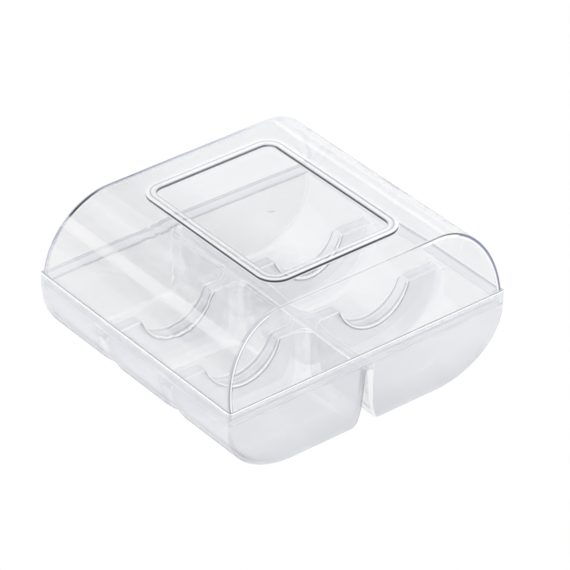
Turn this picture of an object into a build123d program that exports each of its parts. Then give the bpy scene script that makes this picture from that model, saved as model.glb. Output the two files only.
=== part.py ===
from build123d import *
import os

"""Clear six-cell macaron box: a moulded base tray and a domed lift-off lid.

Frame: origin at the bottom centre of the base, X across the two rows of cells,
Y along the rows, Z up.  Millimetres.
"""

# ---------------------------------------------------------------- rim band and lid seat
box_w = 107.4            # over the rim band, X
box_d = 97.6             # over the rim band, Y
rim_z = 28.0             # top of the rim band
band_h = 4.0
band_proud = 0.3         # how far the band stands out of the wall below it
band_r = 2.0             # its corners
band_t = 0.95            # band wall beside the lid's skirt
seat_z = 25.2            # ledge inside the band that the lid stands on
seat_r = 0.3             # corners of the seat
fit_gap = 0.10           # between the band and the lid's skirt, each side

# ---------------------------------------------------------------- base walls
wall = 1.0
body_x = box_w / 2 - band_proud      # half width of the base below its band
body_y = box_d / 2 - band_proud      # half depth of the base at the band's underside
band_z = rim_z - band_h              # underside of the band
inner_x = body_x - wall
side_start_x = 28.0                  # where the flat floor turns into the curved side
side_w = body_x - side_start_x       # half axes of the curved side
side_h = 21.0
end_draft = 1.8                      # how much each end wall leans in, band to floor

# ---------------------------------------------------------------- gap between the rows
gap_top_z = 21.1
gap_top_x = 1.05                     # half width of the gap at its top
gap_floor_x = 3.9                    # half width at the floor
gap_straight = 2.4                   # straight part of the gap's wall, below its top
gap_wall = [(1.42, 11.0), (2.15, 4.6)]   # half width, height: points down its curved wall
gap_floor_tangent = (0.62, -1)       # direction of that wall as it meets the floor
gap_inset_rate = 1.25                # inward shift of its foot per mm of inset

# ---------------------------------------------------------------- cross dividers and ridge
div_y = box_d / 6        # centre of each cross divider: three cells in each row
div_t = 4.6              # divider thickness over its flat top
div_lean = 0.068         # how fast each divider face leans out, going down
shoulder_z = 21.6        # flat top of the cross dividers
scoop_x = 25.6           # centre of the round scoop in each divider
scoop_r = 13.9
scoop_z = 11.4           # lowest point of the scoop
lip_r = 1.8              # rounding where the scoop meets the shoulders

ridge_z = 22.4           # flat top of the ridge between the rows
ridge_top_x = 2.6        # half width of the ridge's flat top
ridge_foot_x = 5.6       # half width where it meets the shoulders
ridge_cut_x = 4.0        # half width of the cuts made over the ridge
ridge_sag = 0.7          # dip of the ridge beside each end wall
dip_start = 5.2          # from a divider's centre to the near end of the dip
dip_margin = 1.4         # from the end wall's inner face to the far end of the dip
clear_above = 4.0        # how far the cutting section rises past the rim

# ---------------------------------------------------------------- cell corners, in plan
div_corner_r = 2.2       # inside, beside a divider
gap_corner_r = 4.0       # inside, up the wall of the gap between the rows
end_inner_r = 0.4        # inside, at an end wall
end_outer_r = 1.2        # outside, at an end wall
edge_margin = 0.5        # keeps the top edges, and the edges off the gap, out of a selection

# ---------------------------------------------------------------- skin over the folds
fold_z = shoulder_z - wall   # underside of the flat tops
skin_inset = 0.2             # skin's edge, in from the base's outer faces
skin_r = 1.6
bar_h = 16.0                 # height of the divider bars below the seat
bar_extra = 2.0              # their thickness over div_t
fold_shoulder_up = 0.3       # underside of the divider skin, above fold_z:
fold_ridge_up = 0.5          # at the shoulders and at the ridge
clear_past_div = 3.0         # room over the dividers, past div_y + div_t
ridge_cut_up = 0.5           # how far the cut over the ridge passes the seat
slot_drop = 1.0              # how far the slot under the ridge starts below fold_z

# ---------------------------------------------------------------- lid
lid_top_z = 53.9
lid_wall = 0.9
skirt_x = box_w / 2 - band_t - fit_gap   # half width and half depth of the skirt
skirt_y = box_d / 2 - band_t - fit_gap
arch_w = 21.8                            # half axes of the lid's curved side
arch_h = lid_top_z - rim_z
arch_x = skirt_x - arch_w                # centre of the curve
lid_lean = 4.8                           # how much each end wall leans in

label_w = 52.8           # label frame on the lid, over its bead, X
label_d = 67.2           # the same, Y
label_outer_r = 7.0
label_inner_r = 3.8
bead_w = 3.3
bead_h = 1.1
gate_r = 1.1             # round gate mark at the lid's centre
gate_h = 0.25

reach = 80.0             # extrusion each way, past everything


# ---------------------------------------------------------------- heights to distances
def end_y(z, inset=0.0):
    """Half depth of the base's end wall at height z."""
    return body_y - end_draft * (band_z - z) / band_z - inset


def div_face(z):
    """Half thickness of a divider at height z, over its cell-side faces."""
    return div_t / 2 + div_lean * (shoulder_z - z)


# ---------------------------------------------------------------- sections across the rows
def row_profile(inset, top):
    """D section of the row on +X."""
    gap_x = gap_top_x + inset
    with BuildSketch(Plane.XZ) as section:
        with BuildLine():
            floor = Line((gap_floor_x + inset * gap_inset_rate, inset), (side_start_x, inset))
            side = EllipticalCenterArc(
                (side_start_x, side_h), side_w - inset, side_h - inset,
                start_angle=-90, arc_size=90,
            )
            outline = Polyline(
                side @ 1,
                (side_start_x + side_w - inset, top),
                (gap_x, top),
                (gap_x, gap_top_z - gap_straight),
            )
            Spline(
                outline @ 1,
                *[(x + inset, z) for x, z in gap_wall],
                floor @ 0,
                tangents=[(0, -1), gap_floor_tangent],
            )
        make_face()
    return section.sketch


def above_dividers(drop, shoulder, ridge):
    """Section of everything over the divider tops, with the scoop lowered by drop
    and the shoulders and the ridge at the given heights."""
    radius = scoop_r + drop
    centre_z = scoop_z + scoop_r
    half = (radius ** 2 - (centre_z - shoulder) ** 2) ** 0.5
    top = rim_z + clear_above
    with BuildSketch(Plane.XZ) as section:
        with BuildLine():
            inner = Polyline(
                (0, ridge),
                (ridge_top_x + drop, ridge),
                (ridge_foot_x + drop, shoulder),
                (scoop_x - half, shoulder),
            )
            scoop = ThreePointArc(
                inner @ 1, (scoop_x, centre_z - radius), (scoop_x + half, shoulder)
            )
            Polyline(scoop @ 1, (inner_x, shoulder), (inner_x, top), (0, top), (0, ridge))
        make_face()
        lips = [
            v for v in vertices()
            if abs(v.Y - shoulder) < 0.01 and abs(abs(v.X - scoop_x) - half) < 0.01
        ]
        fillet(lips, lip_r)
        mirror(about=Plane.YZ)
    return section.sketch


# ---------------------------------------------------------------- cells of the row on +X
def corner_edges(cell, sides, top, gap_side):
    """Edges round a cell's end faces below its top: those up the gap's wall, or all the others."""
    faces = cell.faces().sort_by(Axis.Y)
    return [
        e for i in sides for e in faces[i].edges()
        if e.center().Z < top - edge_margin
        and (e.center().X < gap_floor_x + edge_margin) == gap_side
    ]


def cell_block(inset, top, y_low, y_high, div_sides):
    """Builder holding one cell's block, rounded on its divider sides.

    y_low and y_high give the Y of its two end faces at a height; div_sides are
    the divider faces' places in Y order.
    """
    skin = wall - inset
    with BuildPart() as cell:
        extrude(row_profile(inset, top), amount=reach, both=True)
        with BuildSketch(Plane.YZ):
            with BuildLine():
                Polyline(
                    (y_low(0), 0), (y_low(top), top), (y_high(top), top), (y_high(0), 0),
                    close=True,
                )
            make_face()
        extrude(amount=reach, both=True, mode=Mode.INTERSECT)
        fillet(corner_edges(cell, div_sides, top, True), gap_corner_r + skin)
        fillet(corner_edges(cell, div_sides, top, False), div_corner_r + skin)
    return cell


def end_cell(inset, top, end_r):
    """The cell at the -Y end: between the end wall and a divider."""
    skin = wall - inset
    block = cell_block(
        inset, top,
        lambda z: -end_y(z, inset),
        lambda z: -div_y - div_face(z) + skin,
        [-1],
    )
    with BuildPart() as cell:
        add(block.part)
        end_face = cell.faces().sort_by(Axis.Y)[0]
        fillet([e for e in end_face.edges() if e.center().Z < top - edge_margin], end_r)
    return cell.part


def mid_cell(inset, top):
    """The middle cell: between the two dividers."""
    skin = wall - inset
    return cell_block(
        inset, top,
        lambda z: -div_y + div_face(z) - skin,
        lambda z: div_y - div_face(z) + skin,
        [0, -1],
    ).part


# ---------------------------------------------------------------- base tray
def build_base():
    end_cup = end_cell(0.0, seat_z, end_outer_r)
    mid_cup = mid_cell(0.0, seat_z)
    end_room = end_cell(wall, rim_z, end_inner_r)
    mid_room = mid_cell(wall, rim_z)

    with BuildPart() as base:
        # six cups
        add(end_cup)
        add(mid_cup)
        mirror(end_cup, about=Plane.XZ)
        mirror(about=Plane.YZ)

        # skin over the folds, up to the lid's ledge
        for z in (fold_z, seat_z):
            with BuildSketch(Plane.XY.offset(z)):
                Rectangle(2 * (body_x - skin_inset), 2 * (end_y(z) - skin_inset))
                fillet(vertices(), skin_r)
        loft(ruled=True)

        # scooped skin that joins the two faces of each divider
        with BuildSketch(Plane.XY.offset(seat_z - bar_h)):
            with GridLocations(0, 2 * div_y, 1, 2):
                Rectangle(2 * inner_x, div_t + bar_extra)
        bars = extrude(amount=bar_h, mode=Mode.PRIVATE)
        over = extrude(
            above_dividers(wall, fold_z + fold_shoulder_up, fold_z + fold_ridge_up),
            amount=reach, both=True, mode=Mode.PRIVATE,
        )
        add(bars.intersect(over))

        # rim band
        with BuildSketch(Plane.XY.offset(band_z)):
            Rectangle(box_w, box_d)
            fillet(vertices(), band_r)
        extrude(amount=band_h)

        # room over the dividers, then over the ridge, then the lid's seat
        extrude(
            above_dividers(0, shoulder_z, ridge_z),
            amount=div_y + div_t + clear_past_div, both=True, mode=Mode.SUBTRACT,
        )
        for z in (ridge_z, seat_z + ridge_cut_up):
            with BuildSketch(Plane.XY.offset(z)):
                Rectangle(2 * ridge_cut_x, 2 * end_y(z, wall))
        loft(ruled=True, mode=Mode.SUBTRACT)
        with BuildSketch(Plane.XY.offset(seat_z)):
            Rectangle(box_w - 2 * band_t, box_d - 2 * band_t)
            fillet(vertices(), seat_r)
        extrude(amount=10, mode=Mode.SUBTRACT)

        # the room in each cell
        rooms = [end_room, mid_room, end_room.mirror(Plane.XZ)]
        rooms += [room.mirror(Plane.YZ) for room in rooms]
        for room in rooms:
            add(room, mode=Mode.SUBTRACT)

        # the gap between the rows, carried up under the ridge
        slot_z = fold_z - slot_drop
        with BuildSketch(Plane.XY.offset(slot_z)):
            Rectangle(2 * gap_top_x, box_d)
        extrude(amount=gap_top_z - slot_z, mode=Mode.SUBTRACT)

        # the ridge dips beside each end wall
        for side in (-1, 1):
            near = side * (div_y + dip_start)
            far = side * (end_y(ridge_z, wall) - dip_margin)
            with BuildSketch(Plane.YZ):
                with BuildLine():
                    ThreePointArc(
                        (near, ridge_z), ((near + far) / 2, ridge_z - ridge_sag), (far, ridge_z)
                    )
                    Line((far, ridge_z), (near, ridge_z))
                make_face()
            extrude(amount=ridge_cut_x, both=True, mode=Mode.SUBTRACT)
    return base.part


# ---------------------------------------------------------------- lid
def lid_arch(inset):
    """The lid's section across the rows."""
    half_w, height = arch_w - inset, arch_h - inset
    with BuildSketch(Plane.XZ) as section:
        with BuildLine():
            Polyline((0, seat_z), (arch_x + half_w, seat_z), (arch_x + half_w, rim_z))
            arc = EllipticalCenterArc(
                (arch_x, rim_z), half_w, height, start_angle=0, arc_size=90
            )
            Polyline(arc @ 1, (0, rim_z + height), (0, seat_z))
        make_face()
        mirror(about=Plane.YZ)
    return section.sketch


def lid_side(inset):
    """The lid's section along the rows."""
    foot_y = skirt_y - inset
    top_y = foot_y - lid_lean
    with BuildSketch(Plane.YZ) as section:
        with BuildLine():
            Polyline(
                (-foot_y, seat_z), (-top_y, lid_top_z), (top_y, lid_top_z), (foot_y, seat_z),
                close=True,
            )
        make_face()
    return section.sketch


def lid_block(inset):
    """Solid dome, its curved sides, end walls and top moved in by inset."""
    with BuildPart() as block:
        extrude(lid_arch(inset), amount=reach, both=True)
        extrude(lid_side(inset), amount=reach, both=True, mode=Mode.INTERSECT)
    return block.part


def build_lid():
    dome = lid_block(0)
    room = lid_block(lid_wall)
    with BuildPart() as lid:
        add(dome)
        add(room, mode=Mode.SUBTRACT)
        # label frame: a raised bead round the middle of the top
        with BuildSketch(Plane.XY.offset(lid_top_z)):
            RectangleRounded(label_w, label_d, label_outer_r)
            RectangleRounded(
                label_w - 2 * bead_w, label_d - 2 * bead_w, label_inner_r, mode=Mode.SUBTRACT
            )
        extrude(amount=bead_h)
        with BuildSketch(Plane.XY.offset(lid_top_z)):
            Circle(gate_r)
        extrude(amount=gate_h)
    return lid.part


# ---------------------------------------------------------------- files
os.makedirs("parts", exist_ok=True)
for name, build in (("base_tray", build_base), ("lid", build_lid)):
    part = build()
    part.label = name
    export_step(part, f"parts/{name}.step")
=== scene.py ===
"""Clear macaron box: a packed base tray and its arched lid in clear moulded plastic on a white table.

The box stands on its floor with z up. x runs across the arch of the lid, y along it, so the lid's
flat end walls face -y and +y. The camera looks from -x, -y and above: near is -y, left is -x.
"""
import bpy
import bmesh
import math
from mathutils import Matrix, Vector


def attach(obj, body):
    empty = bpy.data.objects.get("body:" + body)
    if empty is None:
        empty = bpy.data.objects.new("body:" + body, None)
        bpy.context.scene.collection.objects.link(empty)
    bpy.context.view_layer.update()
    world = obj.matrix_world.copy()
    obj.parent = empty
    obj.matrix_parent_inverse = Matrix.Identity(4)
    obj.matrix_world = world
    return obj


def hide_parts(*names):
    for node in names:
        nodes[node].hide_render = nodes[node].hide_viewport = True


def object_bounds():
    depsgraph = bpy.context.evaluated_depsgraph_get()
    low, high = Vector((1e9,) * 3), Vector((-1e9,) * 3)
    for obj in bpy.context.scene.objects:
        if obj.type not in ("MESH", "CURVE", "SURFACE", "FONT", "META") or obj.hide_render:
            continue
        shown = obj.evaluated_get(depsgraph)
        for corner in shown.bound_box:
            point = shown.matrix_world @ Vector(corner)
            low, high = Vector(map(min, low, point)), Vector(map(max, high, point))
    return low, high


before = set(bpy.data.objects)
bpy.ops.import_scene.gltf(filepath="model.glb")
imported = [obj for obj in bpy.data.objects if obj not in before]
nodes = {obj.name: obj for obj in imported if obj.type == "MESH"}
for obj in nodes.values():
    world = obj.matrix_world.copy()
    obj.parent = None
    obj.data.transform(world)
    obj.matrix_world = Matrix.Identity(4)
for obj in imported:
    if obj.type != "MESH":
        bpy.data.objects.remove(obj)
cad_lo, cad_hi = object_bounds()
scene = bpy.context.scene

# ---------------------------------------------------------------- sizes, in metres
HALF_W, HALF_D, RIM_Z = 0.0537, 0.0488, 0.028      # base tray
WIDER = HALF_W - HALF_D
DIVIDER_Y = HALF_D / 3
SCOOP_X, SCOOP_Z, SCOOP_R = 0.0256, 0.0253, 0.0139  # round scoops cut in the dividers
LID_TOP = 0.0539
ARCH_X, ARCH_A, ARCH_B = 0.03085, 0.0218, LID_TOP - RIM_Z  # quarter ellipse: centre x, half axes
LABEL_X, LABEL_Y, LABEL_R = 0.0264, 0.0336, 0.007   # label outline: half sides, corner radius
SKIRT_Y, SEAT_Z, LEAN = 0.04775, 0.0252, 4.8 / 28.7  # lid end wall at its seat, inward slope

# colours of the painted lines: the first three paint shade, PALE and WHITE paint highlights; WHITE is
# also the plain backdrop
PAINTED_SHADE_GREY = (0.16, 0.17, 0.22)
NAVY = (0.27, 0.275, 0.40)
BLACK = (0.07, 0.07, 0.09)
PALE = (0.86, 0.87, 0.90)
WHITE = (1.0, 1.0, 1.0)


# ---------------------------------------------------------------- node building
class Graph:
    """Adds nodes to a tree. An input takes a value, a socket, or a node (its first output)."""

    def __init__(self, tree):
        self.tree = tree

    def node(self, kind, inputs=None, **settings):
        node = self.tree.nodes.new(kind)
        for name, value in settings.items():
            setattr(node, name, value)
        for key, value in (inputs or {}).items():
            socket = node.inputs[key]
            if isinstance(value, bpy.types.Node):
                value = value.outputs[0]
            if isinstance(value, bpy.types.NodeSocket):
                self.tree.links.new(value, socket)
            elif socket.type == "RGBA":
                socket.default_value = (*value, 1.0)
            else:
                socket.default_value = value
        return node

    def op(self, kind, *values):
        return self.node("ShaderNodeMath", dict(enumerate(values)), operation=kind)

    def every(self, first, *others):
        """Product of masks."""
        for mask in others:
            first = self.op("MULTIPLY", first, mask)
        return first

    def remap(self, value, start, end, to=(0.0, 1.0), curve="LINEAR"):
        return self.node("ShaderNodeMapRange", {
            "Value": value, "From Min": start, "From Max": end, "To Min": to[0], "To Max": to[1],
        }, interpolation_type=curve)

    def ramp(self, value, off, on):
        """Smooth mask, 0 at off and 1 at on, either way round."""
        return self.remap(value, off, on, curve="SMOOTHSTEP")

    def band(self, value, low, high, soft):
        """1 between low and high, fading over soft to either side of each."""
        return self.op(
            "MULTIPLY",
            self.ramp(value, off=low - soft, on=low + soft),
            self.ramp(value, off=high + soft, on=high - soft),
        )

    def noise(self, vector, **inputs):
        return self.node("ShaderNodeTexNoise", {"Vector": vector, **inputs})

    def mix(self, fac, first, second):
        return self.node("ShaderNodeMixShader", {"Fac": fac, 1: first, 2: second})

    def transparent(self, colour):
        return self.node("ShaderNodeBsdfTransparent", {"Color": colour})

    def emission(self, colour, strength):
        return self.node("ShaderNodeEmission", {"Color": colour, "Strength": strength})

    def grazing(self):
        """0 where the surface faces the ray, 1 where it is edge on."""
        return self.node("ShaderNodeLayerWeight", {"Blend": 0.5}).outputs["Facing"]


class PaintedLight(Graph):
    """Painted highlight and shade lines laid over a shader, masked by place and direction in the
    moulding's own frame.
    """

    def __init__(self, tree, position, geometry, shader):
        super().__init__(tree)
        self.shader = shader
        self.x, self.y, self.z = self.node("ShaderNodeSeparateXYZ", {0: position}).outputs
        normal = geometry.outputs["True Normal"]
        self.nx, self.ny, self.nz = self.node("ShaderNodeSeparateXYZ", {0: normal}).outputs
        self.back = geometry.outputs["Backfacing"]

    def front_facing(self):
        return self.op("SUBTRACT", 1.0, self.back)

    def faces_near_or_left(self):
        return self.op(
            "MAXIMUM", self.ramp(self.ny, off=-0.3, on=-0.7), self.ramp(self.nx, off=-0.3, on=-0.7)
        )

    def paint(self, mask, fac, ink):
        self.shader = self.mix(self.op("MULTIPLY", mask, fac), self.shader, ink)

    def shade(self, mask, fac):
        """A dark see-through line of painted shade."""
        self.paint(mask, fac, self.transparent(PAINTED_SHADE_GREY))

    def glow(self, mask, fac, colour=WHITE, strength=1.0):
        """An opaque painted line of even tone: painted highlight when light, painted shade when dark.
        """
        self.paint(mask, fac, self.emission(colour, strength))


def new_material(name):
    material = bpy.data.materials.new(name)
    material.use_nodes = True
    material.node_tree.nodes.clear()
    return material, Graph(material.node_tree)


# ---------------------------------------------------------------- clear plastic
def moulded_normal(graph, place, thin):
    """Softened edges, long ripple left by the melt flow, fine orange peel of the mould."""
    ripple = graph.noise(place, Scale=42.0, Detail=1.5, Roughness=0.4)
    peel = graph.noise(place, Scale=420.0, Detail=2.0)
    edge = graph.node("ShaderNodeBevel", {"Radius": 0.00045}, samples=6)
    rippled = graph.node("ShaderNodeBump", {
        "Strength": 0.10 - 0.07 * thin, "Distance": 0.0006, "Height": ripple, "Normal": edge,
    })
    return graph.node("ShaderNodeBump", {
        "Strength": 0.03, "Distance": 0.00005, "Height": peel, "Normal": rippled,
    })


def refracting_body(graph, place, normal, tint, haze, thin):
    """Nearly polished solid plastic, a little duller in patches."""
    patch = graph.noise(place, Scale=60.0, Detail=3.0)
    return graph.node("ShaderNodeBsdfPrincipled", {
        "Base Color": tint,
        "IOR": 1.52,
        "Transmission Weight": 1.0,
        "Coat Weight": 0.5 * thin,
        "Coat Roughness": 0.02,
        "Coat IOR": 1.5,
        "Roughness": graph.remap(patch, 0.35, 0.75, to=(haze, haze + 0.03)),
        "Normal": normal,
        "Coat Normal": normal,
    })


def thin_film(graph, geometry, normal, tint):
    """A thin wall hardly bends what is behind it: light goes straight on, under a sheen."""
    fresnel = graph.node("ShaderNodeFresnel", {"IOR": 1.45, "Normal": normal})
    through = graph.node("ShaderNodeMixRGB", {
        "Fac": graph.ramp(graph.grazing(), off=0.70, on=1.0),
        "Color1": [channel ** 0.5 for channel in tint],
        "Color2": (0.45, 0.46, 0.52),
    })
    straight = graph.transparent(through)
    sheen = graph.node("ShaderNodeBsdfGlossy", {"Roughness": 0.03, "Normal": normal})
    outer = graph.op("SUBTRACT", 1.0, geometry.outputs["Backfacing"])
    return graph.mix(graph.op("MULTIPLY", fresnel, outer), straight, sheen)


def rim_light(graph, geometry, shader, glint, dusk):
    """Rounded rims with painted light: a painted highlight where the softened normal swings up, a
    thin painted grey shade line elsewhere.
    """
    rounded_normal = graph.node("ShaderNodeBevel", {"Radius": 0.0009}, samples=8)
    swing = graph.node(
        "ShaderNodeVectorMath", {0: rounded_normal, 1: geometry.outputs["True Normal"]},
        operation="DOT_PRODUCT",
    )
    rim = graph.ramp(swing.outputs["Value"], off=0.985, on=0.93)
    upward = graph.node("ShaderNodeSeparateXYZ", {0: rounded_normal}).outputs["Z"]
    shine = graph.every(rim, graph.ramp(upward, off=0.10, on=0.45), glint)
    shader = graph.mix(shine, shader, graph.emission(WHITE, strength=1.05))
    dim = graph.every(rim, graph.ramp(upward, off=0.55, on=0.25), dusk)
    return graph.mix(dim, shader, graph.transparent((0.34, 0.35, 0.41)))


def clear_plastic(name, lines, tint, absorb, seed, haze, thin, glint, dusk):
    """Polished clear polystyrene with a cool body tint, with painted highlight and shade lines laid
    over it.

    absorb is the volume density, seed shifts the noise, haze is the lowest roughness, thin is the
    share of straight-through film, glint and dusk weigh the painted highlight and painted shade of
    the rims.
    """
    material, graph = new_material(name)
    output = graph.node("ShaderNodeOutputMaterial")
    geometry = graph.node("ShaderNodeNewGeometry")
    position = graph.node("ShaderNodeTexCoord").outputs["Object"]
    place = graph.node("ShaderNodeMapping", {
        "Vector": position, "Location": (seed, seed * 0.37, seed * 0.71),
    })
    normal = moulded_normal(graph, place, thin)
    body = refracting_body(graph, place, normal, tint, haze, thin)
    wall = graph.mix(thin, body, thin_film(graph, geometry, normal, tint))
    lit = rim_light(graph, geometry, wall, glint, dusk)

    # lay the painted highlight and shade lines over the lit plastic
    skin = PaintedLight(material.node_tree, position, geometry, lit)
    lines(skin)

    # light passes the walls on its way to the table
    path = graph.node("ShaderNodeLightPath").outputs
    clear = graph.transparent((0.97, 0.972, 0.98))
    passing = graph.op("MAXIMUM", path["Is Shadow Ray"], path["Is Diffuse Ray"])
    surface = graph.mix(passing, skin.shader, clear)
    soak = graph.node("ShaderNodeVolumeAbsorption", {
        "Color": (0.80, 0.82, 0.95), "Density": absorb,
    })
    material.node_tree.links.new(surface.outputs[0], output.inputs["Surface"])
    material.node_tree.links.new(soak.outputs[0], output.inputs["Volume"])
    return material


# ---------------------------------------------------------------- painted highlight and shade lines of the base
def base_rim(skin, abs_x, abs_y, flat, wall):
    """Painted highlight on the outer arris, painted shade on the lip of the seat, a painted highlight
    and a painted shade line at the step under the band.
    """
    inward = skin.op(
        "MINIMUM", skin.op("SUBTRACT", HALF_W, abs_x), skin.op("SUBTRACT", HALF_D, abs_y)
    )
    top = skin.every(flat, skin.ramp(skin.z, off=RIM_Z - 0.0003, on=RIM_Z - 0.0001))
    skin.shade(skin.every(top, skin.ramp(inward, off=0.00045, on=0.00065)), fac=0.58)
    skin.glow(
        skin.every(top, skin.ramp(inward, off=0.00050, on=0.00035)), fac=0.90, strength=1.05
    )
    outer = skin.every(wall, skin.ramp(inward, off=0.0006, on=0.0002))
    step = skin.band(skin.z, low=0.0240, high=0.0243, soft=0.00008)
    skin.glow(skin.every(outer, step), fac=0.45)
    skin.shade(skin.every(
        wall,
        skin.ramp(inward, off=0.0020, on=0.0012),
        skin.band(skin.z, low=0.0235, high=0.0239, soft=0.00012),
    ), fac=0.32)


def far_band(skin, wall):
    """The inner face of the far and right band: a painted light strip with a painted shade line below
    it.
    """
    beyond = skin.op(
        "MAXIMUM", skin.op("SUBTRACT", skin.y, 0.0), skin.op("SUBTRACT", skin.x, WIDER)
    )
    inner = skin.faces_near_or_left()
    for low, high, soft, paint in (
        (0.0243, 0.0277, 0.0002, lambda mask: skin.glow(mask, fac=0.70, colour=PALE)),
        (0.0238, 0.0241, 0.00008, lambda mask: skin.shade(mask, fac=0.30)),
    ):
        paint(skin.every(
            wall, inner, skin.ramp(beyond, off=0.0455, on=0.0462),
            skin.band(skin.z, low, high, soft),
        ))


def outer_walls(skin, abs_x, abs_y, wall):
    """A faint even grey tone painted as emission on the outward walls, with painted shade deeper
    towards the floor and under the band.
    """
    out_x = skin.op("MULTIPLY", skin.nx, skin.op("SIGN", skin.x))
    out_y = skin.op("MULTIPLY", skin.ny, skin.op("SIGN", skin.y))
    outward = skin.every(
        wall,
        skin.front_facing(),
        skin.ramp(skin.z, off=0.0279, on=0.0277),
        skin.op(
            "MAXIMUM", skin.ramp(out_y, off=0.35, on=0.7), skin.ramp(out_x, off=0.25, on=0.6)
        ),
    )
    outer = skin.every(outward, skin.op(
        "MAXIMUM",
        skin.ramp(abs_y, off=0.0440, on=0.0455),
        skin.ramp(abs_x, off=0.0300, on=0.0400),
    ))
    skin.glow(outer, fac=0.36, colour=(0.77, 0.78, 0.83))
    skin.shade(skin.every(outer, skin.ramp(skin.z, off=0.0150, on=0.0)), fac=0.10)
    skin.shade(skin.every(
        outer, skin.ramp(out_y, off=0.35, on=0.7), skin.ramp(skin.z, off=0.0240, on=0.0236)
    ), fac=0.055)


def right_wall_inside(skin):
    """Painted light: the right wall, seen from inside, is made the brightest by a near-white glow."""
    skin.glow(skin.every(
        skin.front_facing(),
        skin.ramp(skin.nx, off=-0.1, on=-0.4),
        skin.ramp(skin.x, off=0.0300, on=0.0380),
        skin.ramp(skin.z, off=0.0250, on=0.0240),
    ), fac=0.52, colour=(0.98, 0.985, 1.0))


def dividers(skin, abs_x, abs_y):
    """Painted pale light on the near faces; each scoop is edged by a painted highlight with a painted
    shade line below it.
    """
    toward = skin.front_facing()
    face = skin.every(
        toward,
        skin.ramp(skin.ny, off=-0.6, on=-0.85),
        skin.ramp(abs_y, off=0.0440, on=0.0430),
        skin.ramp(skin.z, off=0.0220, on=0.0215),
    )
    skin.glow(face, fac=0.36, colour=(0.85, 0.86, 0.90))
    from_x, from_z = skin.op("SUBTRACT", abs_x, SCOOP_X), skin.op("SUBTRACT", skin.z, SCOOP_Z)
    reach = skin.op("SQRT", skin.op(
        "ADD", skin.op("MULTIPLY", from_x, from_x), skin.op("MULTIPLY", from_z, from_z)
    ))
    grey = skin.band(reach, low=SCOOP_R + 0.00045, high=SCOOP_R + 0.00095, soft=0.0001)
    skin.shade(skin.every(face, grey), fac=0.60)
    bright = skin.ramp(reach, off=SCOOP_R + 0.00045, on=SCOOP_R + 0.00025)
    skin.glow(skin.every(face, bright), fac=0.75, strength=1.05)

    # painted light on the skin of the scoop itself, with a painted shade line along each side
    dish = skin.every(
        toward,
        skin.ramp(skin.op("ABSOLUTE", skin.ny), off=0.3, on=0.1),
        skin.band(reach, low=SCOOP_R - 0.0006, high=SCOOP_R + 0.0006, soft=0.0002),
        skin.ramp(skin.z, off=0.0212, on=0.0208),
    )
    skin.glow(dish, fac=0.25, colour=(0.90, 0.905, 0.93))
    across = skin.op("ABSOLUTE", skin.op("SUBTRACT", abs_y, DIVIDER_Y))
    line = skin.band(across, low=0.0016, high=0.0020, soft=0.0001)
    skin.shade(skin.every(dish, line), fac=0.50)


def row_gap(skin, abs_x):
    """Painted shade on the left arris and a painted highlight on the right arris of the gap between
    the rows, at the near wall.
    """
    mouth = skin.every(
        skin.ramp(skin.y, off=-0.0455, on=-0.0465),
        skin.ramp(abs_x, off=0.0065, on=0.0055),
        skin.ramp(skin.op("ABSOLUTE", skin.nx), off=0.30, on=0.55),
        skin.ramp(skin.z, off=0.0236, on=0.0230),
    )
    skin.shade(skin.every(mouth, skin.ramp(skin.x, off=0.0, on=-0.0004)), fac=0.75)
    skin.glow(skin.every(mouth, skin.ramp(skin.x, off=0.0, on=0.0004)), fac=0.55)


def base_light_and_shade(skin):
    abs_x, abs_y = skin.op("ABSOLUTE", skin.x), skin.op("ABSOLUTE", skin.y)
    level = skin.op("ABSOLUTE", skin.nz)
    flat = skin.ramp(level, off=0.8, on=0.95)
    wall = skin.ramp(level, off=0.6, on=0.3)
    base_rim(skin, abs_x, abs_y, flat, wall)
    # painted light: the flat tops of the dividers and of the ridge glow pale, standing in for the
    # light of the room
    skin.glow(skin.every(
        flat,
        skin.band(skin.z, low=0.0213, high=0.0225, soft=0.0001),
        skin.ramp(abs_x, off=0.0515, on=0.0510),
    ), fac=0.42, colour=PALE)
    far_band(skin, wall)
    outer_walls(skin, abs_x, abs_y, wall)
    right_wall_inside(skin)
    dividers(skin, abs_x, abs_y)
    row_gap(skin, abs_x)
    # painted shade: a wall seen edge on is deeper in tone
    skin.shade(skin.ramp(skin.grazing(), off=0.88, on=0.99), fac=0.55)


# ---------------------------------------------------------------- painted highlight and shade lines of the lid
def arch_part(skin, value, start, half_axis):
    """How far a value is past start, as a share of the arch's half axis."""
    past = skin.op("MAXIMUM", skin.op("SUBTRACT", value, start), 0.0)
    return skin.op("DIVIDE", past, half_axis)


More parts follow.
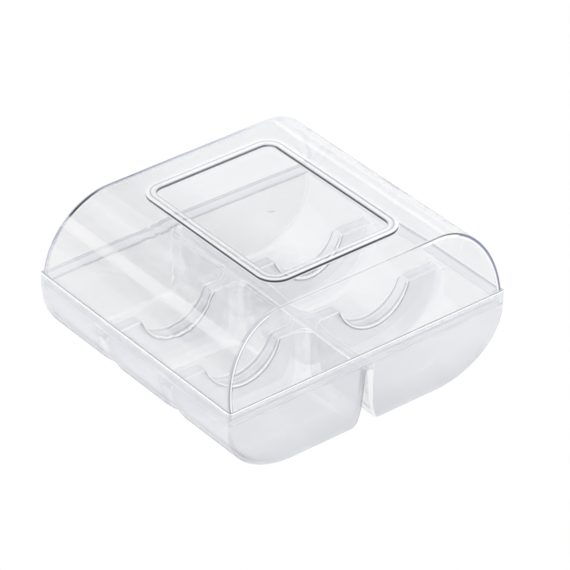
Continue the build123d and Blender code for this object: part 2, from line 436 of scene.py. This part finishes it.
def near_corner(skin, across, arch, climb):
    """The thick corner round the near end wall: a painted dark arris, a painted highlight just inside
    it.
    """
    front = skin.every(
        skin.ramp(skin.y, off=-0.030, on=-0.036),
        skin.ramp(skin.op("ABSOLUTE", skin.ny), off=0.75, on=0.9),
        skin.front_facing(),
    )
    right, left = (
        skin.every(front, skin.ramp(skin.x, off=0.0, on=on), skin.ramp(across, off=0.12, on=0.2))
        for on in (0.002, -0.002)
    )

    flank = skin.every(right, skin.ramp(climb, off=0.955, on=0.915))
    skin.glow(skin.every(flank, skin.ramp(arch, off=0.966, on=0.974)), fac=0.94, colour=NAVY)
    bright = skin.band(arch, low=0.936, high=0.962, soft=0.004)
    skin.glow(skin.every(flank, bright), fac=0.85, strength=1.05)

    brow = skin.every(
        front, skin.ramp(skin.x, off=0.0215, on=0.0260), skin.ramp(climb, off=0.92, on=0.95)
    )
    bright = skin.band(arch, low=0.946, high=0.982, soft=0.005)
    skin.glow(skin.every(brow, bright), fac=0.90, strength=1.1)
    skin.shade(skin.every(brow, skin.ramp(arch, off=0.985, on=0.992)), fac=0.45)

    arris = skin.every(left, skin.ramp(arch, off=0.978, on=0.986))
    skin.glow(arris, fac=0.62, colour=(0.46, 0.47, 0.56))
    bright = skin.band(arch, low=0.952, high=0.974, soft=0.004)
    skin.glow(skin.every(left, bright), fac=0.80, strength=1.05)
    grey = skin.band(arch, low=0.938, high=0.947, soft=0.003)
    skin.shade(skin.every(left, grey), fac=0.40)


def skirt_y(skin):
    """Distance of the leaning end wall from the middle, at this height."""
    drop = skin.op("MULTIPLY", skin.op("SUBTRACT", skin.z, SEAT_Z), LEAN)
    return skin.op("SUBTRACT", SKIRT_Y, drop)


def near_left_flank(skin):
    """A painted grey shade line on the near corner as seen on the left curved side."""
    inset = skin.op("SUBTRACT", skirt_y(skin), skin.op("ABSOLUTE", skin.y))
    skin.glow(skin.every(
        skin.ramp(inset, off=0.0008, on=0.0005),
        skin.ramp(skin.y, off=-0.030, on=-0.036),
        skin.ramp(skin.x, off=-0.020, on=-0.030),
        skin.ramp(skin.nx, off=-0.2, on=-0.4),
    ), fac=0.60, colour=(0.55, 0.56, 0.64))


def far_corner(skin, arch, abs_y):
    """The far arris: a painted pale highlight on the right, a painted grey shade line on the left.
    Returns the mask of the end walls.
    """
    inset = skin.op("SUBTRACT", skirt_y(skin), abs_y)
    brink = skin.ramp(inset, off=0.0007, on=0.0004)
    end_wall = skin.ramp(skin.op("ABSOLUTE", skin.ny), off=0.75, on=0.9)

    def far_edge(on_wall, on_curve):
        corner = skin.op(
            "MAXIMUM",
            skin.every(end_wall, on_wall),
            skin.every(skin.op("SUBTRACT", 1.0, end_wall), on_curve),
        )
        return skin.every(corner, skin.ramp(skin.y, off=0.030, on=0.036))

    narrow = far_edge(skin.ramp(arch, off=0.962, on=0.975), brink)
    broad = far_edge(
        skin.ramp(arch, off=0.925, on=0.935), skin.ramp(inset, off=0.0016, on=0.0013)
    )
    right = skin.every(broad, skin.ramp(skin.x, off=0.020, on=0.028))
    skin.glow(right, fac=0.80, colour=(0.88, 0.89, 0.92))
    left = skin.every(narrow, skin.ramp(skin.x, off=0.004, on=-0.004))
    skin.glow(left, fac=0.62, colour=(0.42, 0.43, 0.53))
    return end_wall


def far_skirt(skin):
    """The far and right skirt behind the base rim is painted light, with a painted grey shade line at
    rim height.
    """
    inner = skin.faces_near_or_left()

    def beyond():
        place = skin.op("MAXIMUM", skin.y, skin.op("SUBTRACT", skin.x, WIDER))
        return skin.ramp(place, off=0.0440, on=0.0455)

    behind = skin.every(inner, skin.ramp(skin.z, off=0.0279, on=0.0276), beyond())
    skin.glow(behind, fac=0.78, colour=PALE)
    line = skin.band(skin.z, low=0.0279, high=0.0281, soft=0.0001)
    skin.shade(skin.every(inner, line, beyond()), fac=0.35)


def label_bead(skin, abs_x, abs_y, level):
    """The bead round the label: painted black shade on the flanks, a crown with painted highlights on
    its shoulders and painted grey shade in its hollow.
    """
    corner_x = skin.op("SUBTRACT", abs_x, LABEL_X - LABEL_R)
    corner_y = skin.op("SUBTRACT", abs_y, LABEL_Y - LABEL_R)
    past_x, past_y = skin.op("MAXIMUM", corner_x, 0.0), skin.op("MAXIMUM", corner_y, 0.0)
    away = skin.op("SQRT", skin.op(
        "ADD", skin.op("MULTIPLY", past_x, past_x), skin.op("MULTIPLY", past_y, past_y)
    ))
    within = skin.op("MINIMUM", skin.op("MAXIMUM", corner_x, corner_y), 0.0)
    depth = skin.op("SUBTRACT", LABEL_R, skin.op("ADD", away, within))

    crown = skin.every(
        skin.ramp(skin.z, off=LID_TOP + 0.0009, on=LID_TOP + 0.00105),
        skin.ramp(level, off=0.8, on=0.95),
    )
    shoulder = skin.band(depth, low=0.0001, high=0.0010, soft=0.0001)
    skin.glow(skin.every(crown, shoulder), fac=0.70, strength=1.05)
    hollow = skin.band(depth, low=0.0013, high=0.0017, soft=0.00015)
    skin.shade(skin.every(crown, hollow), fac=0.30)
    shoulder = skin.band(depth, low=0.0021, high=0.0029, soft=0.0001)
    skin.glow(skin.every(crown, shoulder), fac=0.50, strength=1.03)
    skin.shade(skin.every(crown, skin.ramp(depth, off=0.0030, on=0.0031)), fac=0.30)

    # painted black shade on the flanks: those that face left carry a narrower line than the others
    flanks = skin.every(skin.ramp(level, off=0.5, on=0.3), skin.front_facing())
    leftward, other = (
        skin.every(
            flanks,
            skin.band(skin.z, low=LID_TOP + low, high=LID_TOP + high, soft=0.0001),
            skin.ramp(skin.nx, off=off, on=on),
        )
        for low, high, off, on in ((0.00030, 0.00080, -0.5, -0.8), (0.00018, 0.00088, -0.8, -0.5))
    )
    skin.glow(leftward, fac=0.80, colour=BLACK)
    skin.glow(other, fac=0.88, colour=BLACK)


def shaded_side(skin):
    """Painted shade: the left curve, the near end wall and the left of the top are a tone deeper; the
    left curve also carries a painted highlight streak and painted light on its lower part.
    """
    facing = skin.front_facing()
    curve = skin.every(
        skin.ramp(skin.nx, off=-0.10, on=-0.55), skin.ramp(skin.x, off=-0.020, on=-0.035), facing
    )
    skin.shade(curve, fac=0.105)
    streak = skin.band(skin.z, low=0.0446, high=0.0477, soft=0.0002)
    skin.glow(skin.every(curve, streak), fac=0.36)
    skin.glow(skin.every(curve, skin.ramp(skin.z, off=0.0395, on=0.0385)), fac=0.24)
    skin.shade(skin.every(
        skin.ramp(skin.ny, off=-0.7, on=-0.9), skin.ramp(skin.y, off=-0.030, on=-0.036), facing
    ), fac=0.06)
    skin.shade(skin.every(
        skin.ramp(skin.nz, off=0.9, on=0.97), skin.ramp(skin.x, off=-0.005, on=-0.030), facing
    ), fac=0.10)


def lid_light_and_shade(skin):
    abs_x = skin.op("ABSOLUTE", skin.x)
    across = arch_part(skin, abs_x, ARCH_X, ARCH_A)
    height = arch_part(skin, skin.z, RIM_Z, ARCH_B)
    # arch is 1 on the ellipse, climb runs from 0 at the rim to 1 at the top
    arch = skin.op("SQRT", skin.op(
        "ADD", skin.op("MULTIPLY", across, across), skin.op("MULTIPLY", height, height)
    ))
    climb = skin.op("DIVIDE", height, skin.op("MAXIMUM", arch, 0.01))
    near_corner(skin, across, arch, climb)
    near_left_flank(skin)
    level, abs_y = skin.op("ABSOLUTE", skin.nz), skin.op("ABSOLUTE", skin.y)
    end_wall = far_corner(skin, arch, abs_y)
    far_skirt(skin)
    label_bead(skin, abs_x, abs_y, level)
    shaded_side(skin)
    # painted shade: where the right curve turns edge on, one thin grey outline
    skin.glow(skin.every(
        skin.ramp(skin.grazing(), off=0.88, on=0.95),
        skin.ramp(skin.x, off=0.010, on=0.020),
        skin.ramp(end_wall, off=0.5, on=0.4),
    ), fac=0.75, colour=(0.68, 0.68, 0.73))


clear_base = clear_plastic(
    "clear_base_moulded", base_light_and_shade, tint=(0.984, 0.986, 0.994), absorb=12.0, seed=3.1,
    haze=0.05, thin=0.72, glint=1.0, dusk=0.9,
)
clear_lid = clear_plastic(
    "clear_lid_moulded", lid_light_and_shade, tint=(0.998, 0.999, 1.0), absorb=34.0, seed=7.9,
    haze=0.015, thin=0.0, glint=0.45, dusk=0.25,
)


# ---------------------------------------------------------------- pieces
WELD, DEGENERATE = 2e-6, 1e-7
SHARP = math.radians(24)


def moulding(node, name, material, body):
    """The node's own form as a welded, smooth-shaded skin, for clean highlights."""
    mesh = nodes[node].data.copy()
    mesh.name = name
    piece = bpy.data.objects.new(name, mesh)
    scene.collection.objects.link(piece)
    bm = bmesh.new()
    bm.from_mesh(mesh)
    bmesh.ops.remove_doubles(bm, verts=bm.verts, dist=WELD)
    bmesh.ops.dissolve_degenerate(bm, dist=DEGENERATE, edges=bm.edges)
    bmesh.ops.recalc_face_normals(bm, faces=bm.faces)
    for face in bm.faces:
        face.smooth = True
    for edge in bm.edges:
        edge.smooth = not (len(edge.link_faces) == 2 and edge.calc_face_angle(0.0) > SHARP)
    bm.to_mesh(mesh)
    bm.free()
    if mesh.has_custom_normals:
        with bpy.context.temp_override(
            object=piece, active_object=piece, selected_objects=[piece]
        ):
            bpy.ops.mesh.customdata_custom_splitnormals_clear()
    mesh.materials.clear()
    mesh.materials.append(material)
    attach(piece, body)
    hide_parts(node)


moulding("base_tray", "base_skin", clear_base, body="base")
moulding("lid", "lid_skin", clear_lid, body="lid")


# ---------------------------------------------------------------- table
TABLE_MIRRORED = 0.97     # brightness of the table as the clear walls mirror it
TABLE_Z = cad_lo.z - 0.0002
TABLE_RADII = (0.2, 0.5, 1.2, 3.0)
TABLE_SEGMENTS = 64


def white_table():
    """Evenly glowing white with a trace of grain."""
    material, graph = new_material("white_table")
    position = graph.node("ShaderNodeTexCoord").outputs["Object"]
    tone = graph.remap(graph.noise(position, Scale=300.0), 0.0, 1.0, to=(0.995, 1.005))
    mirrored = graph.node("ShaderNodeLightPath").outputs["Is Glossy Ray"]
    level = graph.remap(mirrored, 0.0, 1.0, to=(1.0, TABLE_MIRRORED))
    glow = graph.node("ShaderNodeEmission", {"Strength": graph.op("MULTIPLY", tone, level)})
    graph.node("ShaderNodeOutputMaterial", {"Surface": glow})
    return material


def table_top():
    """A disc of concentric rings just under the box."""
    mesh = bpy.data.meshes.new("table_top")
    bm = bmesh.new()
    centre = bm.verts.new((0, 0, TABLE_Z))
    turns = [2 * math.pi * i / TABLE_SEGMENTS for i in range(TABLE_SEGMENTS)]
    rings = [
        [bm.verts.new((r * math.cos(turn), r * math.sin(turn), TABLE_Z)) for turn in turns]
        for r in TABLE_RADII
    ]
    for i in range(TABLE_SEGMENTS):
        bm.faces.new((centre, rings[0][i], rings[0][(i + 1) % TABLE_SEGMENTS]))
    for inner, outer in zip(rings, rings[1:]):
        for i in range(TABLE_SEGMENTS):
            j = (i + 1) % TABLE_SEGMENTS
            bm.faces.new((inner[i], outer[i], outer[j], inner[j]))
    bm.to_mesh(mesh)
    bm.free()
    table = bpy.data.objects.new("table_top", mesh)
    scene.collection.objects.link(table)
    mesh.materials.append(white_table())


table_top()


# ---------------------------------------------------------------- studio
# stops by the height (z) of the direction: position, colour
ROOM_STOPS = (             # white sweep, dark wall, grey ceiling, bright top
    (0.0, (1.0, 1.0, 1.0)), (0.10, (0.95, 0.95, 0.95)),
    (0.13, (0.55, 0.56, 0.59)), (0.33, (0.55, 0.56, 0.59)),
    (0.50, (0.90, 0.91, 0.93)), (0.72, (0.90, 0.91, 0.93)),
    (0.84, (1.6, 1.6, 1.6)), (1.0, (1.6, 1.6, 1.6)),
)
BENT_STOPS = (             # white room with one dark belt
    (0.0, (1.0, 1.0, 1.0)), (0.34, (1.0, 1.0, 1.0)),
    (0.42, (0.12, 0.12, 0.1236)), (0.68, (0.12, 0.12, 0.1236)),
    (0.78, (1.15, 1.15, 1.1845)), (1.0, (1.15, 1.15, 1.1845)),
)


def colour_ramp(room, value, stops):
    ramp = room.node("ShaderNodeValToRGB", {"Fac": value})
    elements = ramp.color_ramp.elements
    for i, (position, colour) in enumerate(stops):
        element = elements[i] if i < 2 else elements.new(position)
        element.position = position
        element.color = (*colour, 1.0)
    return ramp


def window(room, value, low, high, soft):
    """1 between low and high, fading over soft to either side of each."""
    rise = room.ramp(value, off=low - soft, on=low + soft)
    fall = room.remap(value, high - soft, high + soft, to=(1.0, 0.0), curve="SMOOTHSTEP")
    return room.op("MULTIPLY", rise, fall)


def softboxes(room, axes):
    """Five boxes on the dark wall round the table, and one overhead."""
    turn = room.op("ARCTAN2", axes["Y"], axes["X"])
    from_first = room.op("SUBTRACT", turn, math.radians(135))
    five = room.op("COSINE", room.op("MULTIPLY", from_first, 5.0))
    boxes = room.op(
        "MULTIPLY",
        window(room, axes["Z"], low=0.337, high=0.455, soft=0.006),
        window(room, five, low=-0.35, high=2.0, soft=0.04),
    )
    overhead = room.op(
        "MULTIPLY",
        window(room, axes["Z"], low=0.62, high=0.86, soft=0.01),
        window(room, axes["X"], low=-0.5, high=0.5, soft=0.02),
    )
    box_level, overhead_level = 0.7, 0.6
    lit = room.op(
        "ADD",
        room.op("MULTIPLY", boxes, box_level),
        room.op("MULTIPLY", overhead, overhead_level),
    )
    return room.node("ShaderNodeCombineColor", {"Red": lit, "Green": lit, "Blue": lit})


def studio():
    """The room for mirrored rays, a belted room for bent ones, plain white for the camera."""
    world = bpy.data.worlds.new("studio")
    scene.world = world
    world.use_nodes = True
    world.node_tree.nodes.clear()
    room = Graph(world.node_tree)
    direction = room.node("ShaderNodeTexCoord").outputs["Generated"]
    axes = room.node("ShaderNodeSeparateXYZ", {0: direction}).outputs
    total = room.node("ShaderNodeMixRGB", {
        "Fac": 1.0,
        "Color1": colour_ramp(room, axes["Z"], ROOM_STOPS),
        "Color2": softboxes(room, axes),
    }, blend_type="ADD")
    mirrored = room.node("ShaderNodeBackground", {"Color": total})
    belted = colour_ramp(room, axes["Z"], BENT_STOPS)
    bent = room.node("ShaderNodeBackground", {"Color": belted})
    path = room.node("ShaderNodeLightPath").outputs
    seen = room.mix(path["Is Transmission Ray"], mirrored, bent)
    white = room.node("ShaderNodeBackground", {"Color": WHITE, "Strength": 1.0})
    room.node("ShaderNodeOutputWorld", {"Surface": room.mix(path["Is Camera Ray"], seen, white)})


studio()


# ---------------------------------------------------------------- camera
AZIMUTH, ELEVATION = math.radians(-38.14), math.radians(33.894)
TO_CAMERA = Vector((
    math.sin(AZIMUTH) * math.cos(ELEVATION),
    -math.cos(AZIMUTH) * math.cos(ELEVATION),
    math.sin(ELEVATION),
))

lens = bpy.data.cameras.new("camera")
lens.sensor_width = 36.0
lens.lens = 246.8
lens.clip_start = 0.05
lens.clip_end = 20.0
camera = bpy.data.objects.new("camera", lens)
scene.collection.objects.link(camera)
camera.location = (-0.61652, -0.79192, 0.70066)
camera.rotation_euler = (-TO_CAMERA).to_track_quat("-Z", "Y").to_euler()
scene.camera = camera

# ---------------------------------------------------------------- render
scene.view_settings.view_transform = "Standard"
scene.view_settings.look = "None"
scene.view_settings.exposure = 0.0
scene.view_settings.gamma = 1.0
cycles = scene.cycles
cycles.max_bounces = 32
cycles.transmission_bounces = 32
cycles.transparent_max_bounces = 32
cycles.glossy_bounces = 10
cycles.diffuse_bounces = 2
cycles.volume_bounces = 0
cycles.caustics_reflective = False
cycles.caustics_refractive = False
cycles.use_denoising = True
cycles.seed = 7
